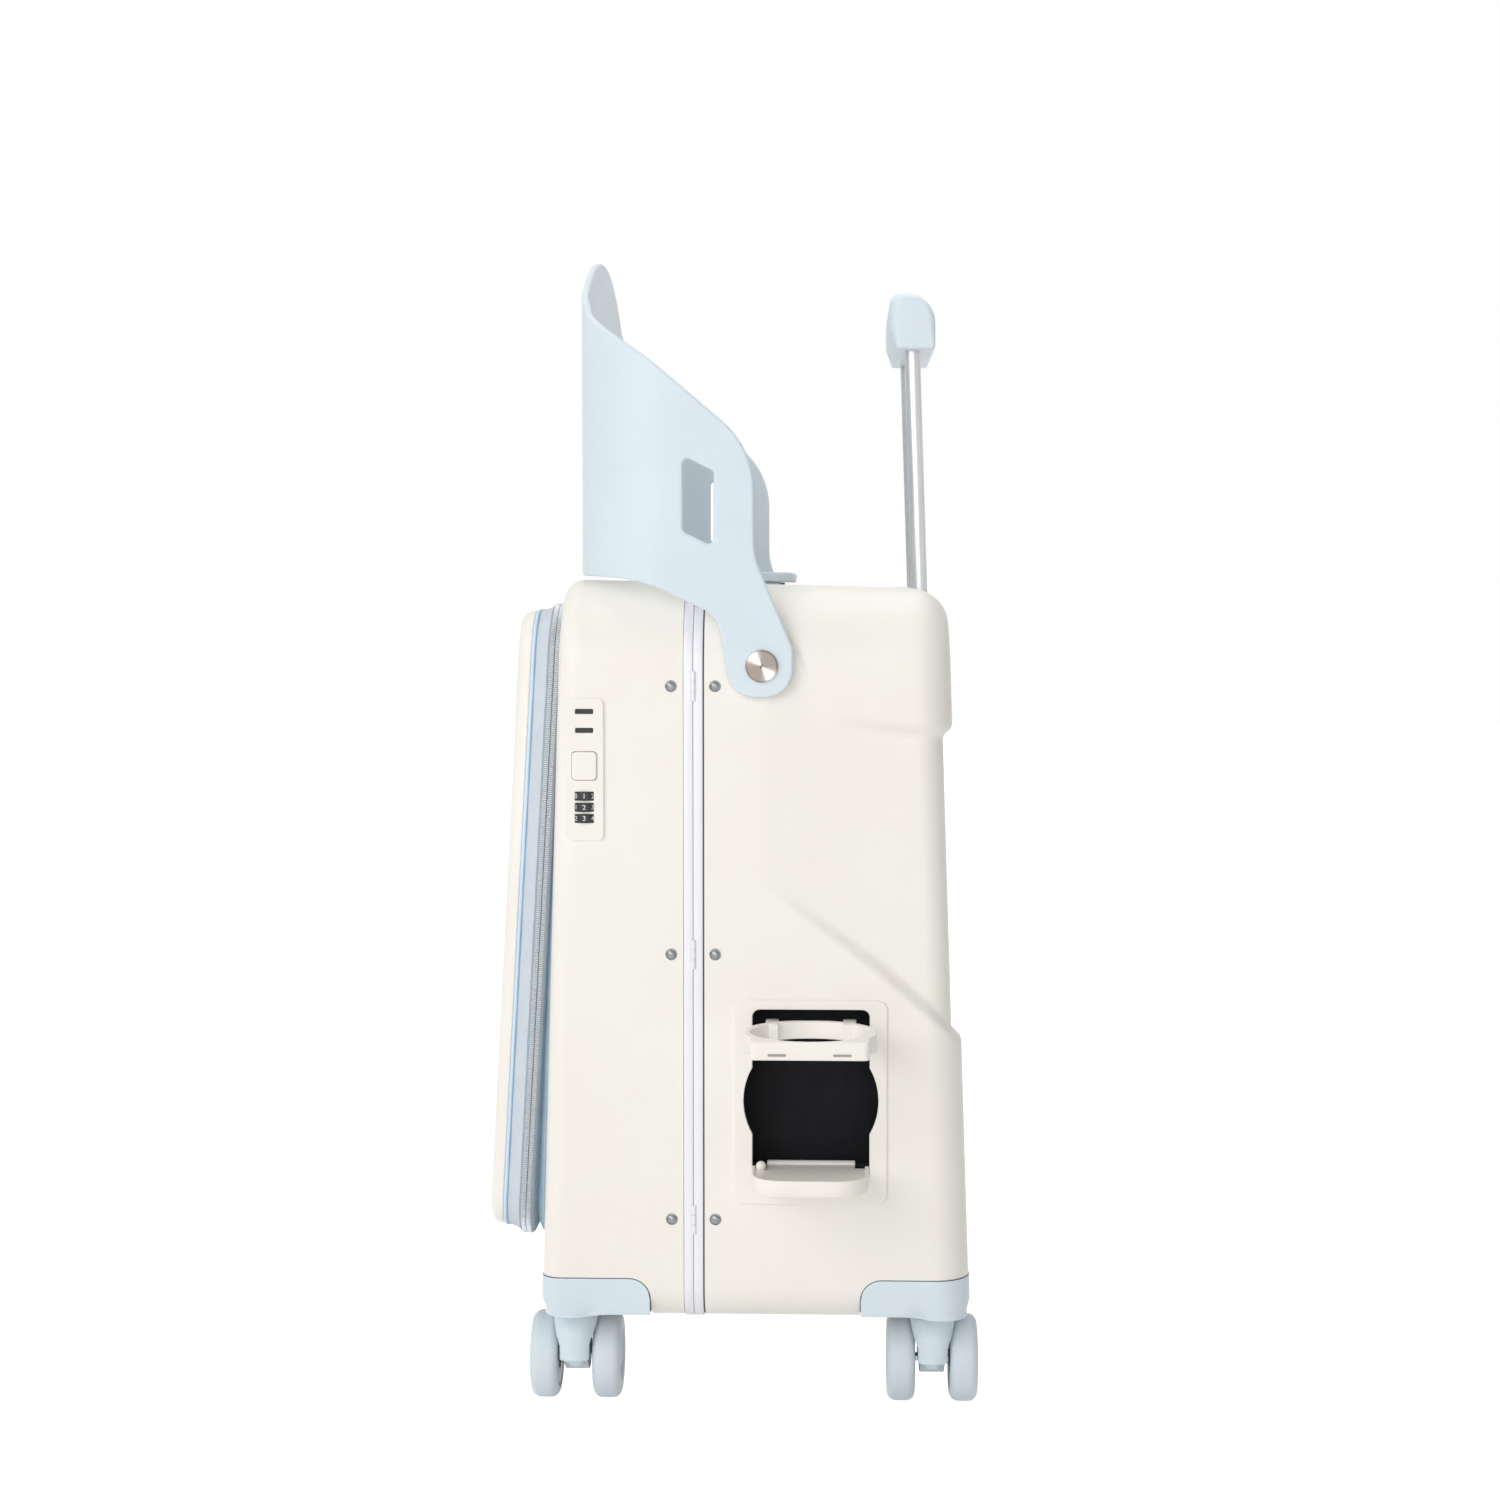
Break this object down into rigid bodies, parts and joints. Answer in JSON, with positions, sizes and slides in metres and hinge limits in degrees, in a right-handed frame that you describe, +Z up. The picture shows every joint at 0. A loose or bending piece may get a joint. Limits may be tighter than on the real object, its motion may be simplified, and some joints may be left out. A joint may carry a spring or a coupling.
{
  "type": "ride-on suitcase",
  "caption": "Upright cabin suitcase with a seat guard that folds, a sliding handle, a side cup holder, a zipped front pocket with a combination lock and swivel casters.",
  "frame": {"origin": "middle of the box round the object, on the floor under its wheels", "axes": "+Z up, -X towards the front pocket, +X towards the trolley handle, -Y towards the side with the cup holder and lock"},
  "size_m": [0.338, 0.4688, 0.803],
  "materials": {
    "shell": "satin moulded, cream white",
    "blue_plastic": "satin moulded, pale blue",
    "frame_metal": "anodised, pale silver",
    "bright_metal": "polished",
    "pivot_steel": "brushed",
    "axle_steel": "turned",
    "dark_plastic": "matt black",
    "dial": "satin black",
    "fabric": "woven, pale blue",
    "zip": "woven tape with moulded teeth",
    "zip_metal": "grey",
    "wheel": "smooth, grey blue"
  },
  "bodies": {
    "rear_case": {"rear_shell": "shell", "rear_frame": "frame_metal", "rear_near_corner_guard": "blue_plastic", "rear_far_corner_guard": "blue_plastic", "case_hinge_leaves_rear": "frame_metal", "case_hinge_pins": "bright_metal", "rear_rivets": "bright_metal", "handle_sleeves": "frame_metal", "handle_bezel": "shell", "handle_foot": "dark_plastic", "guard_pivot_bolts": "pivot_steel", "guard_pivot_bushes": "dark_plastic", "cup_holder_plate": "shell", "cup_holder_pan": "dark_plastic", "carry_handle_lugs": "blue_plastic", "latch_bases": "frame_metal"},
    "front_case": {"front_shell": "shell", "front_frame": "frame_metal", "front_near_corner_guard": "blue_plastic", "front_far_corner_guard": "blue_plastic", "case_hinge_leaves_front": "frame_metal", "front_rivets": "bright_metal", "lock_plate": "shell", "zip_case_side": "zip", "pocket_gusset": "fabric", "latch_keepers": "frame_metal"},
    "pocket_door": {"pocket_door": "shell", "pocket_band": "fabric", "zip_door_side": "zip", "zip_sliders": "zip_metal"},
    "handle": {"handle_grip": "blue_plastic", "handle_tubes": "bright_metal", "handle_tube_glides": "dark_plastic"},
    "release_button": {"release_button": "blue_plastic"},
    "guard": {"guard": "blue_plastic"},
    "carry_handle": {"carry_handle": "blue_plastic"},
    "cup_ring": {"cup_ring": "shell"},
    "cup_tray": {"cup_tray": "shell"},
    "latch_lever_lower": {"latch_lever_lower": "frame_metal"},
    "latch_lever_upper": {"latch_lever_upper": "frame_metal"},
    "lock_button": {"lock_button": "shell"},
    "lock_dial_1": {"lock_dial_1": "dial"},
    "lock_dial_2": {"lock_dial_2": "dial"},
    "lock_dial_3": {"lock_dial_3": "dial"},
    "front_near_caster": {"front_near_fork": "blue_plastic", "front_near_axle": "axle_steel"},
    "front_near_wheel_a": {"front_near_wheel_a": "wheel"},
    "front_near_wheel_b": {"front_near_wheel_b": "wheel"},
    "front_far_caster": {"front_far_fork": "blue_plastic", "front_far_axle": "axle_steel"},
    "front_far_wheel_a": {"front_far_wheel_a": "wheel"},
    "front_far_wheel_b": {"front_far_wheel_b": "wheel"},
    "rear_near_caster": {"rear_near_fork": "blue_plastic", "rear_near_axle": "axle_steel"},
    "rear_near_wheel_a": {"rear_near_wheel_a": "wheel"},
    "rear_near_wheel_b": {"rear_near_wheel_b": "wheel"},
    "rear_far_caster": {"rear_far_fork": "blue_plastic", "rear_far_axle": "axle_steel"},
    "rear_far_wheel_a": {"rear_far_wheel_a": "wheel"},
    "rear_far_wheel_b": {"rear_far_wheel_b": "wheel"}
  },
  "joints": [
    {"name": "case_open", "type": "hinge", "parent": "rear_case", "child": "front_case", "pos_m": [-0.02607, -0.14675, 0.321], "axis": [0, 0, 1], "range_deg": [0, 95]},
    {"name": "pocket_door_open", "type": "hinge", "parent": "front_case", "child": "pocket_door", "pos_m": [-0.11916, 0.20565, 0.556], "axis": [-0.0567, 0, -0.9984], "range_deg": [0, 110]},
    {"name": "guard_fold", "type": "hinge", "parent": "rear_case", "child": "guard", "pos_m": [0.02023, 0.03905, 0.5156], "axis": [0, 1, 0], "range_deg": [0, 36]},
    {"name": "handle_slide", "type": "slide", "parent": "rear_case", "child": "handle", "axis": [-0.0341, 0, 0.9994], "range_m": [-0.16, 0.24]},
    {"name": "release_button_press", "type": "slide", "parent": "handle", "child": "release_button", "axis": [0, 0, -1], "range_m": [0, 0.003], "stiffness_N_per_m": 800},
    {"name": "carry_handle_lift", "type": "slide", "parent": "rear_case", "child": "carry_handle", "axis": [0.0268, 0, 0.9996], "range_m": [0, 0.02]},
    {"name": "cup_ring_fold", "type": "hinge", "parent": "rear_case", "child": "cup_ring", "pos_m": [0.05343, -0.14195, 0.271], "axis": [1, 0, 0], "range_deg": [0, 90]},
    {"name": "cup_tray_fold", "type": "hinge", "parent": "rear_case", "child": "cup_tray", "pos_m": [0.05343, -0.13165, 0.1744], "axis": [-1, 0, 0], "range_deg": [0, 90]},
    {"name": "lock_button_press", "type": "slide", "parent": "front_case", "child": "lock_button", "axis": [0, 1, 0], "range_m": [0, 0.0018], "stiffness_N_per_m": 600},
    {"name": "lock_dial_1_turn", "type": "hinge", "parent": "front_case", "child": "lock_dial_1", "pos_m": [-0.09907, -0.14085, 0.428], "axis": [0, 0, 1], "continuous": true},
    {"name": "lock_dial_2_turn", "type": "hinge", "parent": "front_case", "child": "lock_dial_2", "pos_m": [-0.09907, -0.14085, 0.4205], "axis": [0, 0, 1], "continuous": true},
    {"name": "lock_dial_3_turn", "type": "hinge", "parent": "front_case", "child": "lock_dial_3", "pos_m": [-0.09907, -0.14085, 0.413], "axis": [0, 0, 1], "continuous": true},
    {"name": "latch_lower_open", "type": "hinge", "parent": "rear_case", "child": "latch_lever_lower", "pos_m": [0.00293, 0.22855, 0.231], "axis": [0, 0, -1], "range_deg": [0, 100]},
    {"name": "latch_upper_open", "type": "hinge", "parent": "rear_case", "child": "latch_lever_upper", "pos_m": [0.00293, 0.22855, 0.411], "axis": [0, 0, -1], "range_deg": [0, 100]},
    {"name": "front_near_swivel", "type": "hinge", "parent": "front_case", "child": "front_near_caster", "pos_m": [-0.11077, -0.10095, 0.0635], "axis": [0, 0, 1], "continuous": true},
    {"name": "front_near_wheel_a_roll", "type": "hinge", "parent": "front_near_caster", "child": "front_near_wheel_a", "pos_m": [-0.11077, -0.08895, 0.03], "axis": [1, 0, 0], "continuous": true},
    {"name": "front_near_wheel_b_roll", "type": "hinge", "parent": "front_near_caster", "child": "front_near_wheel_b", "pos_m": [-0.11077, -0.08895, 0.03], "axis": [1, 0, 0], "continuous": true},
    {"name": "front_far_swivel", "type": "hinge", "parent": "front_case", "child": "front_far_caster", "pos_m": [-0.11077, 0.17905, 0.0635], "axis": [0, 0, 1], "continuous": true},
    {"name": "front_far_wheel_a_roll", "type": "hinge", "parent": "front_far_caster", "child": "front_far_wheel_a", "pos_m": [-0.11077, 0.19105, 0.03], "axis": [1, 0, 0], "continuous": true},
    {"name": "front_far_wheel_b_roll", "type": "hinge", "parent": "front_far_caster", "child": "front_far_wheel_b", "pos_m": [-0.11077, 0.19105, 0.03], "axis": [1, 0, 0], "continuous": true},
    {"name": "rear_near_swivel", "type": "hinge", "parent": "rear_case", "child": "rear_near_caster", "pos_m": [0.13753, -0.10095, 0.0635], "axis": [0, 0, 1], "continuous": true},
    {"name": "rear_near_wheel_a_roll", "type": "hinge", "parent": "rear_near_caster", "child": "rear_near_wheel_a", "pos_m": [0.13753, -0.08895, 0.03], "axis": [1, 0, 0], "continuous": true},
    {"name": "rear_near_wheel_b_roll", "type": "hinge", "parent": "rear_near_caster", "child": "rear_near_wheel_b", "pos_m": [0.13753, -0.08895, 0.03], "axis": [1, 0, 0], "continuous": true},
    {"name": "rear_far_swivel", "type": "hinge", "parent": "rear_case", "child": "rear_far_caster", "pos_m": [0.13753, 0.17905, 0.0635], "axis": [0, 0, 1], "continuous": true},
    {"name": "rear_far_wheel_a_roll", "type": "hinge", "parent": "rear_far_caster", "child": "rear_far_wheel_a", "pos_m": [0.13753, 0.19105, 0.03], "axis": [1, 0, 0], "continuous": true},
    {"name": "rear_far_wheel_b_roll", "type": "hinge", "parent": "rear_far_caster", "child": "rear_far_wheel_b", "pos_m": [0.13753, 0.19105, 0.03], "axis": [1, 0, 0], "continuous": true}
  ]
}
